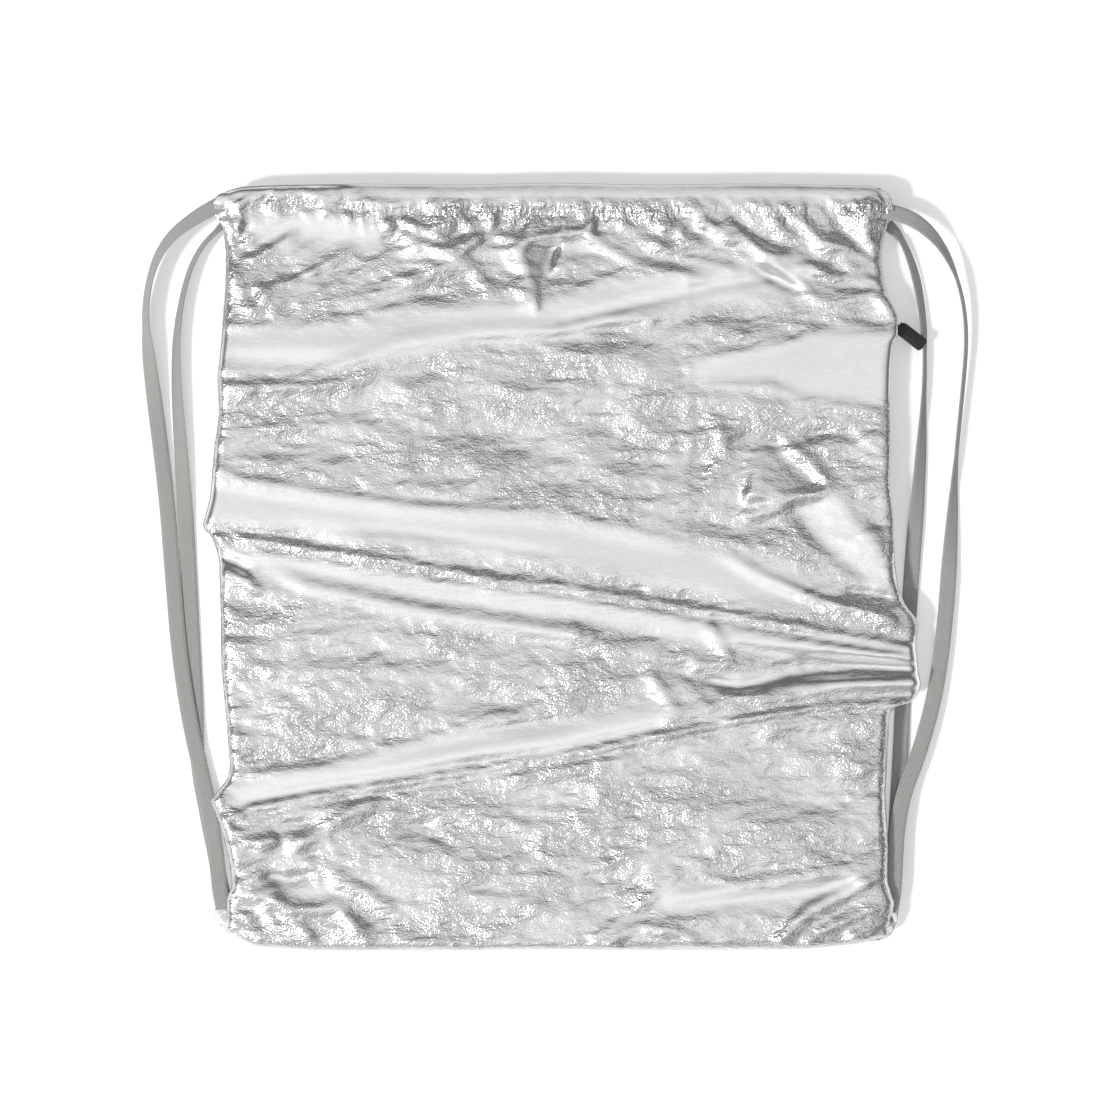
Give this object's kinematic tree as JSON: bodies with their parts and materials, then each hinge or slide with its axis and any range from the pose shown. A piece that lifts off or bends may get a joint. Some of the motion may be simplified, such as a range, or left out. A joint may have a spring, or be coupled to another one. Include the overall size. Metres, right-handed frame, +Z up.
{
  "type": "drawstring bag",
  "caption": "Flat foil drawstring sack lying on its back, with tape cords down both sides, corner tabs, and a side zip pocket with a hinged puller.",
  "frame": {"origin": "centre of the flat face of the back panel that the bag lies on", "axes": "+Z up, away from the surface it lies on; +Y towards the mouth; +X to the right, where the zip is"},
  "size_m": [0.526, 0.48, 0.0243],
  "materials": {
    "foil_cloth": "metallised silver film on woven cloth, glossy and finely crinkled",
    "cord_tape": "flat woven grey polyester tape, matt",
    "thread": "pale grey polyester thread",
    "binding_tape": "grey woven binding",
    "pocket_lining": "grey plain woven lining",
    "zip_tape": "black woven zip tape",
    "zip_coil": "black nylon coil",
    "zip_metal": "black painted die-cast metal",
    "pull_rubber": "black moulded soft plastic, satin"
  },
  "bodies": {
    "bag": {"back_channel_facing": "foil_cloth", "back_channel_stitching": "thread", "back_panel": "foil_cloth", "bottom_seam_binding": "binding_tape", "bottom_seam_stitching": "thread", "front_channel_facing": "foil_cloth", "front_channel_stitching": "thread", "front_panel": "foil_cloth", "left_cord_back_strand": "cord_tape", "left_cord_channel_run": "cord_tape", "left_cord_front_strand": "cord_tape", "left_corner_tab": "foil_cloth", "left_seam_binding": "binding_tape", "left_seam_stitching": "thread", "left_tab_bartack": "thread", "pocket_back_layer": "pocket_lining", "pocket_edge_binding": "binding_tape", "pocket_front_layer": "pocket_lining", "right_cord_back_strand": "cord_tape", "right_cord_channel_run": "cord_tape", "right_cord_front_strand": "cord_tape", "right_corner_tab": "foil_cloth", "right_seam_binding_lower": "binding_tape", "right_seam_binding_upper": "binding_tape", "right_seam_stitching_lower": "thread", "right_seam_stitching_upper": "thread", "right_tab_bartack": "thread", "zip_back_coil": "zip_coil", "zip_back_tape": "zip_tape", "zip_bottom_stop": "zip_coil", "zip_front_coil": "zip_coil", "zip_front_tape": "zip_tape", "zip_stitching": "thread", "zip_top_stop": "zip_coil"},
    "slider": {"zip_slider": "zip_metal"},
    "puller": {"pull_loop": "zip_metal", "pull_grip": "pull_rubber"}
  },
  "joints": [
    {"name": "zip_slide", "type": "slide", "parent": "bag", "child": "slider", "axis": [0, -1, 0], "range_m": [0, 0.135]},
    {"name": "pull_hinge", "type": "hinge", "parent": "slider", "child": "puller", "pos_m": [0.21165, 0.155, 0.012], "axis": [0, 0, 1], "range_deg": [-32, 108]}
  ]
}
